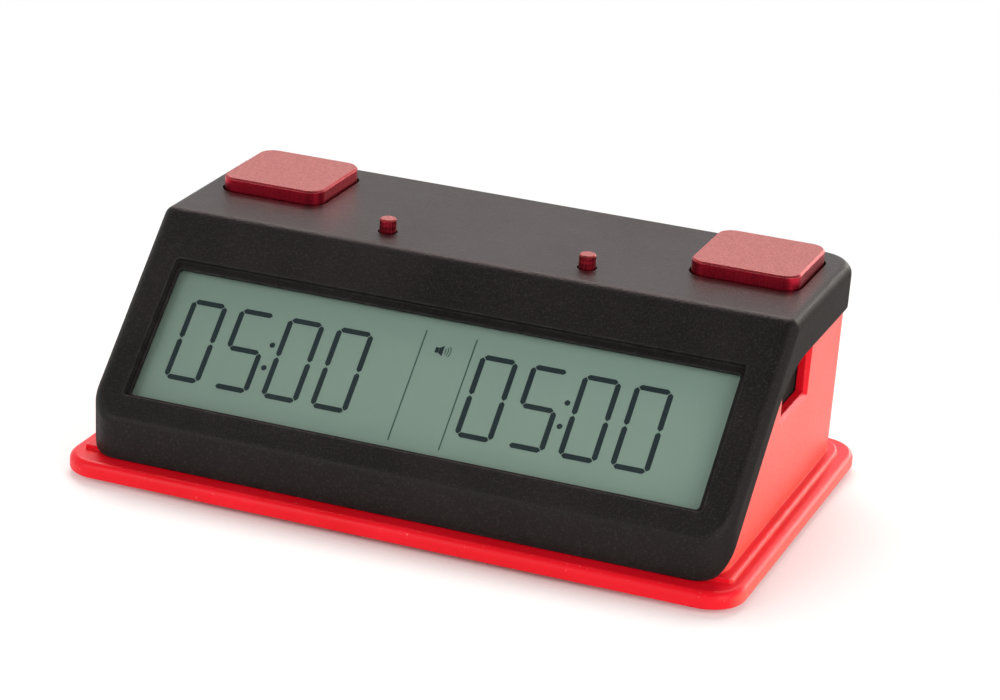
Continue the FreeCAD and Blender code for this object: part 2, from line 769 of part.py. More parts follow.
# ---- export -----------------------------------------------------------------------
def all_nodes():
    nodes = {
        "top_cover": top_cover(),
        "base_housing": base_housing(),
        "display_window": display_window(),
        "lcd_panel": lcd_panel(),
        "lcd_reflector": lcd_reflector(),
        "lcd_holder": lcd_holder(),
        "contact_strips": contact_strips(),
        "display_board": display_board(),
        "display_board_screws": display_board_screws(),
        "controller_chip": controller_chip(),
        "crystal": crystal(),
        "board_capacitors": board_capacitors(),
        "ribbon_cable": ribbon_cable(),
        "ribbon_connectors": ribbon_connectors(),
        "switch_board": switch_board(),
        "switch_board_screws": switch_board_screws(),
        "button_guides": button_guides(),
        "player_switches": player_switches(),
        "set_switches": set_switches(),
        "buzzer": buzzer(),
        "battery_front": battery_cell(CELL_Y[0], 1),
        "battery_rear": battery_cell(CELL_Y[1], -1),
        "battery_springs": battery_springs(),
        "battery_contacts": battery_contacts(),
        "battery_lead_red": battery_lead(CELL_Y[0], 12.4),
        "battery_lead_black": battery_lead(CELL_Y[1], 15.6),
        "battery_connector": battery_connector(),
        "battery_door": battery_door(),
        "case_screws": case_screws(),
    }
    for name, build in (("button_cap", button_cap), ("button_plunger", button_plunger),
                        ("button_spring", button_spring), ("set_button", set_button)):
        shape = build()
        nodes["right_" + name] = shape
        nodes["left_" + name] = mirrored(shape)
    corners = ("front_left_foot", "front_right_foot", "rear_left_foot", "rear_right_foot")
    for name, (x, y) in zip(corners, foot_places()):
        nodes[name] = rubber_foot(x, y)
    return nodes


os.makedirs("parts", exist_ok=True)
for name, shape in all_nodes().items():
    shape.exportStep("parts/" + name + ".step")
    print(name, "solids", len(shape.Solids), "valid", shape.isValid())
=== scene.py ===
import math

import bmesh
import bpy
from mathutils import Matrix, Vector


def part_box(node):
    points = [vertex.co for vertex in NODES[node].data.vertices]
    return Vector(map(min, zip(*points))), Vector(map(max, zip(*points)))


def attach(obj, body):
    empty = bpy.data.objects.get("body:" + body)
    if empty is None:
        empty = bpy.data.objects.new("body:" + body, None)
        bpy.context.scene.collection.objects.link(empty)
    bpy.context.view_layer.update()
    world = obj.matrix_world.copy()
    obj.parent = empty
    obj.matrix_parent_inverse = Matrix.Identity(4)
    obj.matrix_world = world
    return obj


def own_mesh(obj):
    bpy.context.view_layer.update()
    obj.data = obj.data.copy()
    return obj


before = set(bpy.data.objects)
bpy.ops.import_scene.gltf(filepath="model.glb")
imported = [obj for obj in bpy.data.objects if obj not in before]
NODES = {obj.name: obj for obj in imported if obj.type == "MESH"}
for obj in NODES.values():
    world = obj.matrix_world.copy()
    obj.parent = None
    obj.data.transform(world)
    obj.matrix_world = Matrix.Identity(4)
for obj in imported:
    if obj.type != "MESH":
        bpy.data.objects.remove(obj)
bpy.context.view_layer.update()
SCENE = bpy.context.scene
MM = 0.001


# ---- material building blocks -------------------------------------------------
class Recipe:
    """One node material, built up from object-space textures (metres)."""

    def __init__(self, name, colour, rough=0.5, metal=0.0, specular=0.5):
        self.material = bpy.data.materials.new(name)
        self.material.use_nodes = True
        self.tree = self.material.node_tree
        self.shader = self.tree.nodes["Principled BSDF"]
        self.set("Base Color", tuple(colour) + (1.0,))
        self.set("Roughness", rough)
        self.set("Metallic", metal)
        self.set("Specular IOR Level", specular)
        self.place = self.node("ShaderNodeTexCoord").outputs["Object"]
        self.normal = None

    def set(self, key, value):
        """Give the shader a value that is the same all over the surface."""
        self.shader.inputs[key].default_value = value

    def node(self, kind, **values):
        made = self.tree.nodes.new(kind)
        for key, value in values.items():
            setattr(made, key, value)
        return made

    def link(self, start, end):
        self.tree.links.new(start, end)

    def feed(self, made, key, value):
        """Link a node's output, or set a plain value, on an input."""
        if isinstance(value, bpy.types.NodeSocket):
            self.link(value, made.inputs[key])
        else:
            made.inputs[key].default_value = value

    def stretched(self, scale):
        """Object coordinates scaled differently along each axis."""
        made = self.node("ShaderNodeMapping")
        self.link(self.place, made.inputs["Vector"])
        made.inputs["Scale"].default_value = scale
        return made.outputs["Vector"]

    def noise(self, scale, detail=3.0, rough=0.55, place=None, distort=0.0):
        made = self.node("ShaderNodeTexNoise")
        self.link(place or self.place, made.inputs["Vector"])
        made.inputs["Scale"].default_value = scale
        made.inputs["Detail"].default_value = detail
        made.inputs["Roughness"].default_value = rough
        made.inputs["Distortion"].default_value = distort
        return made.outputs["Fac"]

    def cells(self, scale, feature="DISTANCE_TO_EDGE", distance="EUCLIDEAN"):
        made = self.node("ShaderNodeTexVoronoi", feature=feature)
        if feature != "DISTANCE_TO_EDGE":
            made.distance = distance
        self.link(self.place, made.inputs["Vector"])
        made.inputs["Scale"].default_value = scale
        return made.outputs["Distance"]

    def math(self, kind, a, b=0.0):
        made = self.node("ShaderNodeMath", operation=kind)
        self.feed(made, 0, a)
        self.feed(made, 1, b)
        return made.outputs["Value"]

    def spread(self, value, low, high, out_low, out_high):
        """Map a value's range onto another, held at its ends."""
        made = self.node("ShaderNodeMapRange")
        self.feed(made, "Value", value)
        made.inputs["From Min"].default_value = low
        made.inputs["From Max"].default_value = high
        made.inputs["To Min"].default_value = out_low
        made.inputs["To Max"].default_value = out_high
        return made.outputs["Result"]

    def axis(self, name, place=None):
        made = self.node("ShaderNodeSeparateXYZ")
        self.link(place or self.place, made.inputs["Vector"])
        return made.outputs[name]

    def facing(self, name):
        """One part of the surface's own direction."""
        return self.axis(name, self.node("ShaderNodeNewGeometry").outputs["Normal"])

    def turned_to(self, name, low, high, most):
        """From 0 to most as the surface turns to face along an axis, either way."""
        return self.spread(self.math("ABSOLUTE", self.facing(name)), low, high, 0.0, most)

    def mix(self, amount, a, b):
        """Blend from a to b, each a colour or a node's output."""
        made = self.node("ShaderNodeMix", data_type="RGBA")
        self.feed(made, "Factor", amount)
        for key, value in (("A", a), ("B", b)):
            socket = [s for s in made.inputs if s.name == key and s.type == "RGBA"][0]
            if isinstance(value, bpy.types.NodeSocket):
                self.link(value, socket)
            else:
                socket.default_value = tuple(value) + (1.0,)
        return [s for s in made.outputs if s.type == "RGBA"][0]

    def cloudy(self, cloud, a, b):
        """Two tones that run into each other with a soft noise."""
        return self.mix(self.spread(cloud, 0.35, 0.65, 0.0, 1.0), a, b)

    def flecked(self, fine, low, high, most, base, fleck):
        """The base colour with specks where the fine noise is high."""
        return self.mix(self.spread(fine, low, high, 0.0, most), base, fleck)

    def bands(self, value, stops):
        """Hard-edged bands of colour, each from its stop to the next."""
        made = self.node("ShaderNodeValToRGB")
        made.color_ramp.interpolation = "CONSTANT"
        self.link(value, made.inputs["Fac"])
        while len(made.color_ramp.elements) < len(stops):
            made.color_ramp.elements.new(0.5)
        for element, (place, colour) in zip(made.color_ramp.elements, stops):
            element.position = place
            element.color = tuple(colour) + (1.0,)
        return made.outputs["Color"]

    def edge_mask(self, radius):
        """1 along outer edges, fading to 0 on open faces."""
        soft = self.node("ShaderNodeBevel", samples=4)
        soft.inputs["Radius"].default_value = radius
        flat = self.node("ShaderNodeNewGeometry").outputs["Normal"]
        dot = self.node("ShaderNodeVectorMath", operation="DOT_PRODUCT")
        self.link(soft.outputs["Normal"], dot.inputs[0])
        self.link(flat, dot.inputs[1])
        return self.spread(dot.outputs["Value"], 0.86, 0.99, 1.0, 0.0)

    def worn_edges(self, radius, scale, low, high, least, most, detail=4.0):
        """The edge mask, broken up by a noise as wear is."""
        patches = self.spread(self.noise(scale, detail), low, high, least, most)
        return self.math("MULTIPLY", self.edge_mask(radius), patches)

    def soften(self, radius):
        """Round the shading of sharp edges a little."""
        soft = self.node("ShaderNodeBevel", samples=4)
        soft.inputs["Radius"].default_value = radius
        self.normal = soft.outputs["Normal"]

    def bump(self, height, depth):
        """Raise the shading by up to depth metres, on top of what is there already."""
        made = self.node("ShaderNodeBump")
        made.inputs["Strength"].default_value = 1.0
        made.inputs["Distance"].default_value = depth
        self.link(height, made.inputs["Height"])
        if self.normal is not None:
            self.link(self.normal, made.inputs["Normal"])
        self.normal = made.outputs["Normal"]

    def paint(self, colour):
        self.link(colour, self.shader.inputs["Base Color"])

    def polish(self, value):
        self.link(value, self.shader.inputs["Roughness"])

    def shine(self, cloud, by_cloud, fine, by_fine):
        """Roughness as the sum of two noises' shares, each given as (least, most)."""
        coarse = self.spread(cloud, 0.3, 0.7, *by_cloud)
        return self.math("ADD", coarse, self.spread(fine, 0.3, 0.7, *by_fine))

    def done(self):
        if self.normal is not None:
            self.link(self.normal, self.shader.inputs["Normal"])
        return self.material


def scaled(colour, by):
    return tuple(min(1.0, c * by) for c in colour)


def moulded(name, colour, rough, grain=0.00035, depth=0.00003, tone=0.12, soften=0.0002,
            wear=0.25, specular=0.5):
    """Moulded plastic: fine spark texture, cloudy tone, slightly rubbed edges.

    grain and depth are the texture's size and height in metres, and soften rounds the edges.
    """
    r = Recipe(name, colour, rough, 0.0, specular)
    cloud = r.noise(38.0, 4.0, 0.6)
    fine = r.noise(1.0 / grain, 5.0, 0.62)
    base = r.cloudy(cloud, scaled(colour, 1 - tone), scaled(colour, 1 + tone))
    base = r.flecked(fine, 0.52, 0.72, 0.35, base, scaled(colour, 1.45))
    if wear:
        light = tuple(min(1.0, c * 1.5 + 0.02) for c in colour)
        base = r.mix(r.worn_edges(0.0005, 420.0, 0.4, 0.65, 0.1, wear), base, light)
    r.paint(base)
    r.polish(r.shine(cloud, (-0.05, 0.05), fine, (rough - 0.07, rough + 0.07)))
    if soften:
        r.soften(soften)
    r.bump(fine, depth)
    return r.done()


def black_shell():
    """Spark-eroded black plastic with a soft mottled sheen, rougher on the end skirts."""
    colour = (0.0085, 0.0078, 0.0076)
    r = Recipe("black_shell", colour, 0.4, 0.0, 0.15)
    cloud = r.noise(30.0, 5.0, 0.62)
    grain = r.noise(2500.0, 4.0, 0.62)
    pits = r.cells(1300.0, "F1")
    height = r.math("ADD", r.math("MULTIPLY", grain, 0.7), r.math("MULTIPLY", pits, 0.5))
    base = r.cloudy(cloud, scaled(colour, 0.75), scaled(colour, 1.2))
    base = r.flecked(grain, 0.52, 0.68, 0.7, base, (0.029, 0.0272, 0.0266))
    rubbed = r.worn_edges(0.0009, 300.0, 0.4, 0.7, 0.15, 0.75)
    r.paint(r.mix(rubbed, base, (0.045, 0.043, 0.042)))
    shine = r.shine(cloud, (-0.05, 0.06), grain, (0.36, 0.50))
    r.polish(r.math("ADD", shine, r.turned_to("X", 0.6, 0.95, 0.42)))
    r.set("Specular Tint", (1.0, 0.88, 0.86, 1.0))
    r.soften(0.0003)
    r.bump(r.noise(120.0, 3.0), 0.00006)
    r.bump(height, 0.00009)
    return r.done()


def red_shell():
    """Satin red plastic, painted paler and more salmon on the end walls as a painted sheen."""
    r = Recipe("red_shell", (0.76, 0.003, 0.014), 0.36, 0.0, 0.20)
    cloud = r.noise(32.0, 4.0, 0.6)
    fine = r.noise(2100.0, 4.0, 0.6)
    glitter = r.noise(1500.0, 2.0, 0.5)
    base = r.cloudy(cloud, (0.72, 0.002, 0.009), (0.82, 0.005, 0.018))
    base = r.flecked(fine, 0.55, 0.75, 0.3, base, (0.86, 0.012, 0.028))
    base = r.flecked(glitter, 0.69, 0.75, 0.7, base, (0.90, 0.14, 0.12))
    # painted sheen: the end walls get a paler, salmon colour in place of the bright veil they
    # reflect
    pale = r.cloudy(cloud, (0.74, 0.078, 0.054), (0.80, 0.094, 0.066))
    base = r.mix(r.turned_to("X", 0.75, 0.97, 0.9), base, pale)
    rubbed = r.worn_edges(0.0007, 350.0, 0.42, 0.66, 0.05, 0.5)
    r.paint(r.mix(rubbed, base, (0.88, 0.045, 0.055)))
    r.polish(r.shine(cloud, (-0.04, 0.05), fine, (0.30, 0.42)))
    r.soften(0.0003)
    r.bump(r.noise(90.0, 3.0), 0.00008)
    r.bump(fine, 0.000022)
    return r.done()


def anodised(name, streak, dark, lay):
    """Red anodising, bead-blasted on the tops and finely lined on the sides, the tops painted a
    paler pink as a painted reflection of the bright surroundings.

    lay scales the side lines along each axis, streak is their strength and dark their tone.
    """
    colour = (0.53, 0.018, 0.040)
    r = Recipe(name, colour, 0.4, 1.0, 0.5)
    cloud = r.noise(60.0, 4.0, 0.6)
    blast = r.noise(2600.0, 4.0, 0.7)
    lines = r.noise(1.0, 4.0, 0.6, r.stretched(lay))
    top = r.turned_to("Z", 0.55, 0.8, 1.0)
    base = r.cloudy(cloud, scaled(colour, 0.88), scaled(colour, 1.12))
    base = r.flecked(lines, 0.40, 0.62, streak, base, scaled(colour, dark))
    # bead-blasted top speckle, with a paler pink colour that is painted reflection of the bright
    # surroundings
    frost_and_reflection = r.flecked(blast, 0.40, 0.62, 1.0, (0.156, 0.032, 0.031), (0.292, 0.104, 0.096))
    bright = r.worn_edges(0.0003, 700.0, 0.4, 0.6, 0.25, 0.7, detail=3.0)
    r.paint(r.mix(bright, r.mix(top, base, frost_and_reflection), (0.75, 0.10, 0.12)))
    matt = r.math("MULTIPLY", top, 0.17)
    r.polish(r.math("ADD", matt, r.spread(blast, 0.3, 0.7, 0.25, 0.36)))
    r.soften(0.00012)
    grooves = r.math("MULTIPLY", lines, r.math("SUBTRACT", 1.0, top))
    beads = r.math("MULTIPLY", blast, r.math("MULTIPLY", top, 1.8))
    r.bump(r.math("ADD", grooves, beads), 0.00002)
    return r.done()


def lcd():
    """Grey-green liquid crystal glass, a little lighter towards the right."""
    r = Recipe("lcd", (0.235, 0.338, 0.276), 0.3, 0.0, 0.15)
    low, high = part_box("lcd_panel")
    across = r.spread(r.axis("X"), low.x, high.x, 0.0, 1.0)
    cloud = r.noise(16.0, 3.0, 0.5)
    film = r.noise(4200.0, 2.0, 0.5)
    base = r.mix(across, (0.216, 0.308, 0.256), (0.252, 0.366, 0.306))
    base = r.mix(r.spread(cloud, 0.35, 0.65, 0.0, 0.3), base, (0.226, 0.322, 0.262))
    base = r.mix(r.spread(film, 0.45, 0.65, 0.0, 0.25), base, (0.264, 0.380, 0.314))
    r.paint(base)
    r.polish(r.spread(film, 0.3, 0.7, 0.24, 0.38))
    r.bump(film, 0.000006)
    return r.done()


def ink(name, colour, pale):
    """A display marking: dark film with a faint grain."""
    r = Recipe(name, colour, 0.35, 0.0, 0.12)
    film = r.noise(4200.0, 2.0, 0.5)
    r.paint(r.flecked(film, 0.4, 0.65, 0.6, colour, pale))
    r.polish(r.spread(film, 0.3, 0.7, 0.3, 0.42))
    return r.done()


def clear_window():
    """Thin clear plastic sheet with faint handling marks."""
    r = Recipe("clear_window", (0.02, 0.02, 0.02), 0.08, 0.0, 0.5)
    smudge = r.noise(55.0, 5.0, 0.65, None, 0.6)
    hair = r.noise(1.0, 3.0, 0.5, r.stretched((90.0, 2400.0, 2400.0)))
    r.paint(r.flecked(smudge, 0.4, 0.7, 1.0, (0.012, 0.014, 0.013), (0.05, 0.055, 0.05)))
    scratches = r.spread(hair, 0.62, 0.75, 0.0, 0.1)
    r.polish(r.math("ADD", r.spread(smudge, 0.4, 0.7, 0.05, 0.16), scratches))
    r.set("Alpha", 0.07)
    r.bump(smudge, 0.00001)
    return r.done()


def board():
    """Green solder mask over tracks, with bare pads."""
    colour = (0.012, 0.115, 0.040)
    r = Recipe("circuit_board", colour, 0.32, 0.0, 0.5)
    tracks = r.spread(r.cells(420.0), 0.03, 0.06, 1.0, 0.0)
    pads = r.spread(r.cells(190.0, "F1", "CHEBYCHEV"), 0.10, 0.13, 1.0, 0.0)
    weave = r.noise(1500.0, 2.0)
    base = r.mix(r.spread(weave, 0.4, 0.6, 0.0, 0.5), colour, (0.016, 0.145, 0.052))
    base = r.mix(r.math("MULTIPLY", tracks, 0.7), base, (0.03, 0.24, 0.085))
    base = r.mix(pads, base, (0.62, 0.60, 0.55))
    r.paint(base)
    r.polish(r.math("ADD", r.math("MULTIPLY", pads, 0.1), r.spread(weave, 0.3, 0.7, 0.26, 0.4)))
    r.bump(r.math("ADD", tracks, pads), 0.00003)
    return r.done()


def metal(name, colour, rough, drawn=(900.0, 900.0, 900.0)):
    """Plated or drawn metal with fine lines, scaled by drawn, and dull patches."""
    r = Recipe(name, colour, rough, 1.0, 0.5)
    line = r.noise(1.0, 4.0, 0.6, r.stretched(drawn))
    patch = r.noise(160.0, 4.0, 0.6)
    base = r.flecked(line, 0.35, 0.7, 1.0, scaled(colour, 0.85), scaled(colour, 1.08))
    r.paint(r.flecked(patch, 0.5, 0.75, 0.25, base, scaled(colour, 0.55)))
    dull = r.spread(patch, 0.4, 0.7, 0.0, 0.15)
    r.polish(r.math("ADD", dull, r.spread(line, 0.3, 0.7, rough - 0.06, rough + 0.08)))
    r.soften(0.00012)
    r.bump(line, 0.00001)
    return r.done()


def ribbon():
    """Ten grey wires side by side, the first one marked red."""
    low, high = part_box("ribbon_cable")
    pitch = (high.x - low.x) / 10
    r = Recipe("ribbon", (0.40, 0.41, 0.42), 0.45, 0.0, 0.5)
    x = r.math("SUBTRACT", r.axis("X"), low.x)
    wave = r.math("ABSOLUTE", r.math("SINE", r.math("MULTIPLY", x, math.pi / pitch)))
    wear = r.noise(500.0, 4.0)
    base = r.mix(r.spread(wave, 0.0, 0.6, 1.0, 0.0), (0.42, 0.43, 0.44), (0.20, 0.20, 0.21))
    base = r.mix(r.spread(wear, 0.45, 0.7, 0.0, 0.3), base, (0.30, 0.30, 0.31))
    base = r.mix(r.spread(x, pitch * 0.95, pitch, 1.0, 0.0), base, (0.55, 0.03, 0.03))
    r.paint(base)
    r.polish(r.spread(wear, 0.3, 0.7, 0.38, 0.55))
    r.bump(wave, 0.00025)
    return r.done()


def striped_rubber():
    """Thin dark conductive stripes across a grey rubber strip."""
    r = Recipe("conductive_rubber", (0.10, 0.10, 0.11), 0.7, 0.0, 0.3)
    wave = r.math("SINE", r.math("MULTIPLY", r.axis("X"), 2 * math.pi / 0.0004))
    mottle = r.noise(900.0, 3.0)
    base = r.mix(r.spread(wave, -0.4, 0.4, 0.0, 1.0), (0.20, 0.20, 0.21), (0.03, 0.03, 0.032))
    r.paint(r.mix(r.spread(mottle, 0.45, 0.7, 0.0, 0.4), base, (0.12, 0.12, 0.12)))
    r.polish(r.spread(mottle, 0.3, 0.7, 0.6, 0.8))
    r.bump(mottle, 0.00002)
    return r.done()


def cell_jacket(node, tip_high):
    """Plain cell sleeve: blue for most of its length, pale grey near the tip, steel ends."""
    low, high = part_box(node)
    flat, tip = (low.x, high.x) if tip_high else (high.x, low.x)
    steel, blue, grey = (0.50, 0.49, 0.47), (0.012, 0.045, 0.13), (0.48, 0.49, 0.51)
    sleeve, collar, cap = 0.016, 0.78, 0.965    # where each band starts, along the cell
    r = Recipe(node + "_jacket", blue, 0.25, 0.0, 0.5)
    along = r.spread(r.axis("X"), flat, tip, 0.0, 1.0)
    scuff = r.noise(1.0, 5.0, 0.65, r.stretched((120.0, 700.0, 700.0)))
    tone = r.bands(along, [(0.0, steel), (sleeve, blue), (collar, grey), (cap, steel)])
    r.paint(r.flecked(scuff, 0.55, 0.75, 0.35, tone, (0.30, 0.28, 0.26)))
    bare = r.bands(along, [(0.0, (1, 1, 1)), (sleeve, (0, 0, 0)), (cap, (1, 1, 1))])
    r.link(bare, r.shader.inputs["Metallic"])
    r.polish(r.spread(scuff, 0.3, 0.7, 0.18, 0.36))
    r.soften(0.0002)
    r.bump(scuff, 0.00002)
    return r.done()


# ---- carried-over CAD nodes ---------------------------------------------------
def dress(names, material):
    """Give CAD nodes their material."""
    for name in names:
        slots = NODES[name].data.materials
        slots.clear()
        slots.append(material)


dress(["top_cover"], black_shell())
dress(["base_housing", "battery_door"], red_shell())
dress(["display_window"], clear_window())
dress(["lcd_panel"], lcd())
film = moulded("reflector_film", (0.42, 0.48, 0.44), 0.55, grain=0.0006, depth=0.00001, tone=0.06,
               soften=0.0, wear=0.0)
dress(["lcd_reflector"], film)
dress(["lcd_holder"], moulded("holder_grey", (0.055, 0.055, 0.058), 0.5))
dress(["contact_strips"], striped_rubber())
dress(["display_board", "switch_board"], board())
screw_steel = metal("zinc_steel", (0.58, 0.57, 0.54), 0.32)
dress(["display_board_screws", "switch_board_screws", "case_screws"], screw_steel)
package = moulded("chip_package", (0.012, 0.012, 0.013), 0.5, grain=0.0002, depth=0.00001, tone=0.2,
                  soften=0.0001, wear=0.15)
dress(["controller_chip"], package)
can = metal("drawn_can", (0.66, 0.67, 0.68), 0.26, (600.0, 600.0, 2500.0))
dress(["crystal", "board_capacitors"], can)
dress(["ribbon_cable"], ribbon())
dress(["ribbon_connectors"], moulded("connector_black", (0.015, 0.015, 0.016), 0.42))
switch_black = moulded("switch_black", (0.018, 0.018, 0.019), 0.45)
dress(["player_switches", "set_switches"], switch_black)
dress(["buzzer"], moulded("buzzer_black", (0.014, 0.014, 0.015), 0.4))
white = moulded("natural_white", (0.62, 0.60, 0.54), 0.42, grain=0.0004, depth=0.00002, tone=0.05)
dress(["button_guides", "battery_connector", "left_button_plunger", "right_button_plunger"], white)
dress(["battery_front"], cell_jacket("battery_front", True))
dress(["battery_rear"], cell_jacket("battery_rear", False))
nickel = metal("nickel_plate", (0.62, 0.58, 0.52), 0.24, (1500.0, 300.0, 1500.0))
dress(["battery_springs", "battery_contacts"], nickel)
wire = metal("spring_wire", (0.50, 0.50, 0.50), 0.3, (400.0, 400.0, 2600.0))
dress(["left_button_spring", "right_button_spring"], wire)
for node, name, colour, tone in (
        ("battery_lead_red", "lead_red", (0.50, 0.012, 0.012), 0.08),
        ("battery_lead_black", "lead_black", (0.014, 0.014, 0.014), 0.15)):
    lead = moulded(name, colour, 0.42, grain=0.0003, depth=0.00001, tone=tone, soften=0.0, wear=0.0)
    dress([node], lead)
dress(["left_button_cap", "right_button_cap"],
      anodised("anodised_caps", streak=0.35, dark=0.6, lay=(2600.0, 2600.0, 130.0)))
dress(["left_set_button", "right_set_button"],
      anodised("anodised_pins", streak=0.85, dark=0.12, lay=(90.0, 90.0, 2100.0)))
rubber = moulded("foot_rubber", (0.016, 0.015, 0.015), 0.8, grain=0.00045, depth=0.00005, tone=0.2,
                 wear=0.5, specular=0.3)
dress([n for n in NODES if n.endswith("_foot")], rubber)


# Each return spring gets a mesh of its own; its lower end sits on the switch board.
for side in ("left", "right"):
    spring = NODES[side + "_button_spring"]
    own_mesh(spring)


# ---- what the display shows ---------------------------------------------------
def panel_frame():
    """Middle of the panel's upper edge, and its down-slope and outward directions."""
    mesh = NODES["lcd_panel"].data
    sloped = [p for p in mesh.polygons if p.normal.z > 0.3 and p.normal.y < -0.3]
    face = max(sloped, key=lambda p: p.area)
    out = face.normal.normalized()
    right = Vector((1.0, 0.0, 0.0))
    down = right.cross(out).normalized()
    anchor = mesh.vertices[face.vertices[0]].co
    front = [v.co for v in mesh.vertices if abs((v.co - anchor).dot(out)) < 2e-6]
    top = min(p.dot(down) for p in front)
    return down * top + out * anchor.dot(out), down, out


ORIGIN, DOWN, OUT = panel_frame()

# Layout of the display, in millimetres: across from the panel's middle, down from the opening.
OPENING = 2.06              # panel's upper edge to the opening's upper edge
FIRST = -63.60              # left strokes of the first digit
BLOCK_STEP = 73.09          # from one player's time to the other's
DIGIT_STEP = (0.0, 12.43, 24.89, 37.30)
DIGIT_W = 7.91              # between the middles of a digit's left and right strokes
ROWS = (6.67, 16.56, 26.63)
STROKE = 1.30
TIP = 0.15                  # a stroke's end, as a share of its width
CORNER_GAP = 0.34           # clear distance kept at a digit's corners
COLON_STEP = 22.62
COLON_ROWS = (13.9, 19.9)
COLON_RADIUS = 0.68
DIVIDERS = (-5.85, 6.6)
DIVIDER_ROWS = (2.75, 31.4)
DIVIDER_HALF = 0.16
SPEAKER = (-1.0, 7.15)
WAVES = (1.25, 1.85, 2.45)  # radii of the sound waves
WAVE_WIDTH = 0.22
WAVE_SPREAD = 34            # degrees each way
LIT = {"0": "abcdef", "5": "acdfg"}


def on_panel(x, down, lift):
    """A point on the panel, in millimetres from its middle and the opening's top."""
    return Vector((x * MM, 0.0, 0.0)) + ORIGIN + DOWN * ((down + OPENING) * MM) + OUT * (lift * MM)


def plate(bm, outline, low=0.008, high=0.045):
    """Thin solid on the panel with softened upper corners."""
    chamfer_drop, chamfer_in = 0.012, 0.02
    middle_x = sum(p[0] for p in outline) / len(outline)
    middle_y = sum(p[1] for p in outline) / len(outline)

    def ring(lift, shrink):
        made = []
        for x, y in outline:
            away = math.hypot(x - middle_x, y - middle_y) or 1.0
            keep = 1.0 - shrink / away
            at_x = middle_x + (x - middle_x) * keep
            at_y = middle_y + (y - middle_y) * keep
            made.append(bm.verts.new(on_panel(at_x, at_y, lift)))
        return made

    rings = [ring(low, 0.0), ring(high - chamfer_drop, 0.0), ring(high, chamfer_in)]
    bm.faces.new(rings[0][::-1])
    bm.faces.new(rings[-1])
    for lower, upper in zip(rings, rings[1:]):
        for i in range(len(outline)):
            k = (i + 1) % len(outline)
            bm.faces.new((lower[i], lower[k], upper[k], upper[i]))


def stroke(bm, x, y, length, upright):
    """One segment with mitred, nearly pointed ends."""
    half = length / 2
    side = STROKE / 2
    tip = side * TIP
    slope = half - side + tip
    shape = [(-half, tip), (-half, -tip), (-slope, -side), (slope, -side),
             (half, -tip), (half, tip), (slope, side), (-slope, side)]
    if upright:
        shape = [(-b, a) for a, b in shape]
    plate(bm, [(x + a, y + b) for a, b in shape])


def digit(bm, left, character):
    """A seven-segment digit, its strokes named a to g as usual."""
    top, centre, bottom = ROWS
    middle, right = left + DIGIT_W / 2, left + DIGIT_W
    upper, lower = (top + centre) / 2, (centre + bottom) / 2
    flat = DIGIT_W - 1.6 * CORNER_GAP
    tall, taller = centre - top - CORNER_GAP, bottom - centre - CORNER_GAP
    strokes = {
        "a": (middle, top, flat, False),
        "b": (right, upper, tall, True),
        "c": (right, lower, taller, True),
        "d": (middle, bottom, flat, False),
        "e": (left, lower, taller, True),
        "f": (left, upper, tall, True),
        "g": (middle, centre, flat, False),
    }
    for key in LIT[character]:
        stroke(bm, *strokes[key])


def around(x, y, radius, turn):
    """The point at an angle on a circle."""
    return x + radius * math.cos(turn), y + radius * math.sin(turn)


def disc(x, y, radius, count=28):
    return [around(x, y, radius, 2 * math.pi * i / count) for i in range(count)]


def arc_band(x, y, radius, width, spread, count=10):
    """Outer and inner edges of a curved bar opening to the left, as sound leaving a speaker."""
    turns = [math.radians(-spread + 2 * spread * i / count) for i in range(count + 1)]
    outer = [around(x, y, radius + width / 2, t) for t in turns]
    inner = [around(x, y, radius - width / 2, t) for t in turns]
    return outer, inner


def curved_plate(bm, outer, inner, low=0.005, high=0.04):
    """Thin solid on the panel between two curved edges."""
    outer_low, outer_high, inner_low, inner_high = [
        [bm.verts.new(on_panel(x, y, lift)) for x, y in line]
        for line in (outer, inner) for lift in (low, high)]
    last = len(outer) - 1
    for i in range(last):
        k = i + 1
        bm.faces.new((outer_high[i], outer_high[k], inner_high[k], inner_high[i]))
        bm.faces.new((outer_low[k], outer_low[i], inner_low[i], inner_low[k]))
        bm.faces.new((outer_low[i], outer_low[k], outer_high[k], outer_high[i]))
        bm.faces.new((inner_low[k], inner_low[i], inner_high[i], inner_high[k]))
    for i in (0, last):
        bm.faces.new((outer_low[i], outer_high[i], inner_high[i], inner_low[i]))


def piece(name, material, fill):
    """One marking on the display, riding on the clock."""
    bm = bmesh.new()
    fill(bm)
    bmesh.ops.recalc_face_normals(bm, faces=bm.faces)
    mesh = bpy.data.meshes.new(name)
    bm.to_mesh(mesh)
    bm.free()
    mesh.materials.append(material)
    made = bpy.data.objects.new(name, mesh)
    SCENE.collection.objects.link(made)
    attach(made, "clock")


def digits(block):
    """The filler for one player's four digits."""
    def fill(bm):
        for step, character in zip(DIGIT_STEP, "0500"):
            digit(bm, FIRST + block * BLOCK_STEP + step, character)
    return fill


def colons(bm):
    for block in (0, 1):
        for y in COLON_ROWS:
            plate(bm, disc(FIRST + block * BLOCK_STEP + COLON_STEP, y, COLON_RADIUS))


def dividers(bm):
    top, bottom = DIVIDER_ROWS
    for x in DIVIDERS:
        left, right = x - DIVIDER_HALF, x + DIVIDER_HALF
        plate(bm, [(left, top), (right, top), (right, bottom), (left, bottom)])


def speaker(bm):
    """A small box with a cone opening to the right."""
    x, y = SPEAKER
    for near, far, near_half, far_half in ((-1.35, -0.42, 0.7, 0.7), (-0.38, 0.62, 0.7, 1.35)):
        plate(bm, [(x + near, y - near_half), (x + far, y - far_half),
                   (x + far, y + far_half), (x + near, y + near_half)])


def sound_waves(bm):
    for radius in WAVES:
        curved_plate(bm, *arc_band(*SPEAKER, radius, WAVE_WIDTH, WAVE_SPREAD))


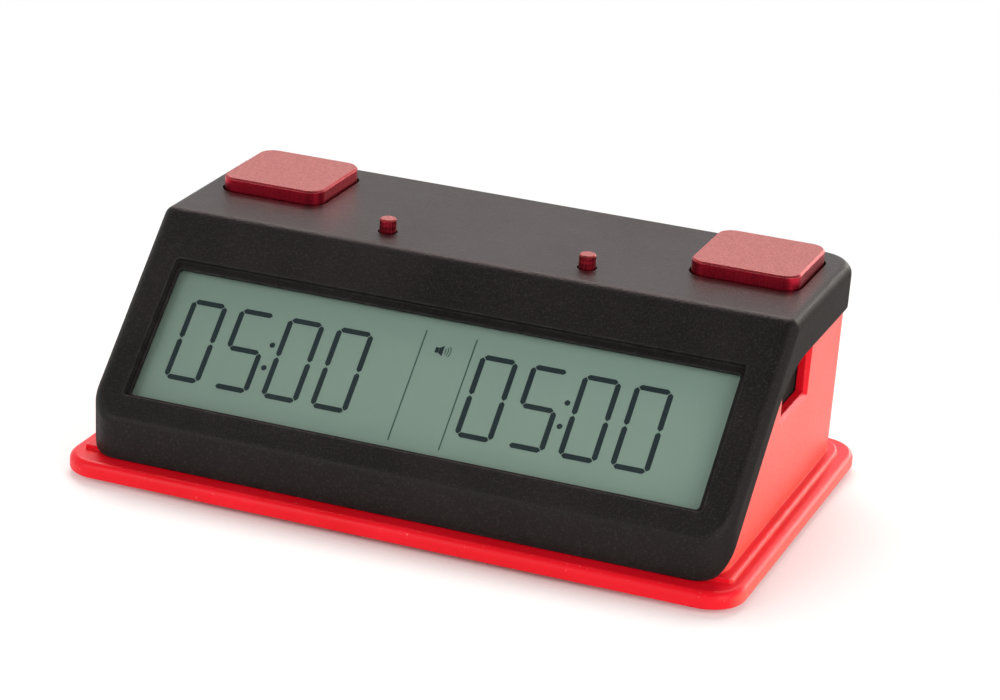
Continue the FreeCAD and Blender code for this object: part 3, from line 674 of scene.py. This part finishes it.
INK = ink("lcd_segments", (0.018, 0.030, 0.034), (0.028, 0.043, 0.046))
FAINT_INK = ink("lcd_faint_segments", (0.060, 0.108, 0.084), (0.080, 0.132, 0.104))
piece("left_time_digits", INK, digits(0))
piece("right_time_digits", INK, digits(1))
piece("time_colons", INK, colons)
piece("display_dividers", FAINT_INK, dividers)
piece("speaker_symbol", INK, speaker)
piece("sound_wave_symbol", FAINT_INK, sound_waves)


# ---- studio -------------------------------------------------------------------
FLOOR_HALF = 0.45
FLOOR_Z = -0.00002          # just under the feet
FLOOR_FADE = (0.065, 0.20)  # solid out to the first distance from the middle, gone by the second


def floor():
    """Pale table that fades into the white studio round it."""
    r = Recipe("studio_floor", (0.95, 0.95, 0.95), 0.7, 0.0, 0.1)
    r.paint(r.cloudy(r.noise(900.0, 4.0), (0.94, 0.94, 0.94), (0.96, 0.96, 0.96)))
    reach = r.node("ShaderNodeVectorMath", operation="LENGTH")
    r.link(r.place, reach.inputs[0])
    r.link(r.spread(reach.outputs["Value"], *FLOOR_FADE, 1.0, 0.0), r.shader.inputs["Alpha"])
    mesh = bpy.data.meshes.new("studio_floor")
    corners = [(x * FLOOR_HALF, y * FLOOR_HALF, FLOOR_Z)
               for x, y in ((-1, -1), (1, -1), (1, 1), (-1, 1))]
    mesh.from_pydata(corners, [], [(0, 1, 2, 3)])
    mesh.materials.append(r.done())
    made = bpy.data.objects.new("studio_floor", mesh)
    SCENE.collection.objects.link(made)


def softbox(name, place, aim, size, power, colour=(1.0, 1.0, 1.0)):
    """A rectangular light at a place, turned to what it lights."""
    data = bpy.data.lights.new(name, "AREA")
    data.shape = "RECTANGLE"
    data.size, data.size_y = size
    data.energy = power
    data.color = colour
    lamp = bpy.data.objects.new(name, data)
    lamp.location = place
    lamp.rotation_euler = (Vector(aim) - Vector(place)).to_track_quat("-Z", "Y").to_euler()
    SCENE.collection.objects.link(lamp)


def sky():
    """Bright low backdrop all round, darker overhead."""
    world = bpy.data.worlds.new("studio")
    world.use_nodes = True
    tree = world.node_tree
    place = tree.nodes.new("ShaderNodeTexCoord")
    split = tree.nodes.new("ShaderNodeSeparateXYZ")
    ramp = tree.nodes.new("ShaderNodeValToRGB")
    tree.links.new(place.outputs["Generated"], split.inputs["Vector"])
    tree.links.new(split.outputs["Z"], ramp.inputs["Fac"])
    stops = ((0.0, 1.0), (0.42, 1.0), (0.62, 0.50), (0.85, 0.16), (1.0, 0.12))
    while len(ramp.color_ramp.elements) < len(stops):
        ramp.color_ramp.elements.new(0.5)
    for element, (at, level) in zip(ramp.color_ramp.elements, stops):
        element.position = at
        element.color = (level, level, level, 1.0)
    back = tree.nodes["Background"]
    tree.links.new(ramp.outputs["Color"], back.inputs["Color"])
    back.inputs["Strength"].default_value = 1.0
    SCENE.world = world


# The photograph's viewpoint, solved from the case's edges.
CAMERA_TURN = 20.314        # degrees round to the right of the front
CAMERA_LIFT = 20.845        # degrees above the table
CAMERA_ROLL = 3.345
CAMERA_AIM = (0.006551, 0.0, 0.031427)
CAMERA_DISTANCE = 0.768769
LENS = 118.59               # on a 36 mm sensor
SENSOR = 36.0


def camera():
    turn, lift, roll = map(math.radians, (CAMERA_TURN, CAMERA_LIFT, CAMERA_ROLL))
    level = math.cos(lift)
    back = Vector((math.sin(turn) * level, -math.cos(turn) * level, math.sin(lift)))
    right = Vector((math.cos(turn), math.sin(turn), 0.0))
    up = back.cross(right)
    across = right * math.cos(roll) + up * math.sin(roll)
    upward = up * math.cos(roll) - right * math.sin(roll)
    data = bpy.data.cameras.new("photo_camera")
    data.sensor_width = SENSOR
    data.lens = LENS
    data.clip_start = 0.01
    data.clip_end = 100.0
    made = bpy.data.objects.new("photo_camera", data)
    made.matrix_world = Matrix((across, upward, back)).transposed().to_4x4()
    made.location = Vector(CAMERA_AIM) + back * CAMERA_DISTANCE
    SCENE.collection.objects.link(made)
    SCENE.camera = made


floor()
sky()
softbox("key_light", place=(-0.60, -0.85, 0.60), aim=(0.0, 0.0, 0.02), size=(0.6, 0.5), power=3.0)
softbox("right_light", place=(0.88, -0.38, 0.42), aim=(0.0, 0.0, 0.03), size=(0.5, 0.9), power=4.6,
        colour=(1.0, 0.95, 0.9))
softbox("rear_light", place=(0.42, 0.86, 0.13), aim=(0.06, 0.0, 0.02), size=(0.7, 0.25), power=3.8,
        colour=(1.0, 0.93, 0.84))
softbox("top_light", place=(-0.35, 0.90, 1.20), aim=(0.0, 0.0, 0.02), size=(1.4, 0.9), power=26.0,
        colour=(1.0, 0.87, 0.84))
camera()
SCENE.view_settings.view_transform = "Standard"
SCENE.view_settings.look = "None"
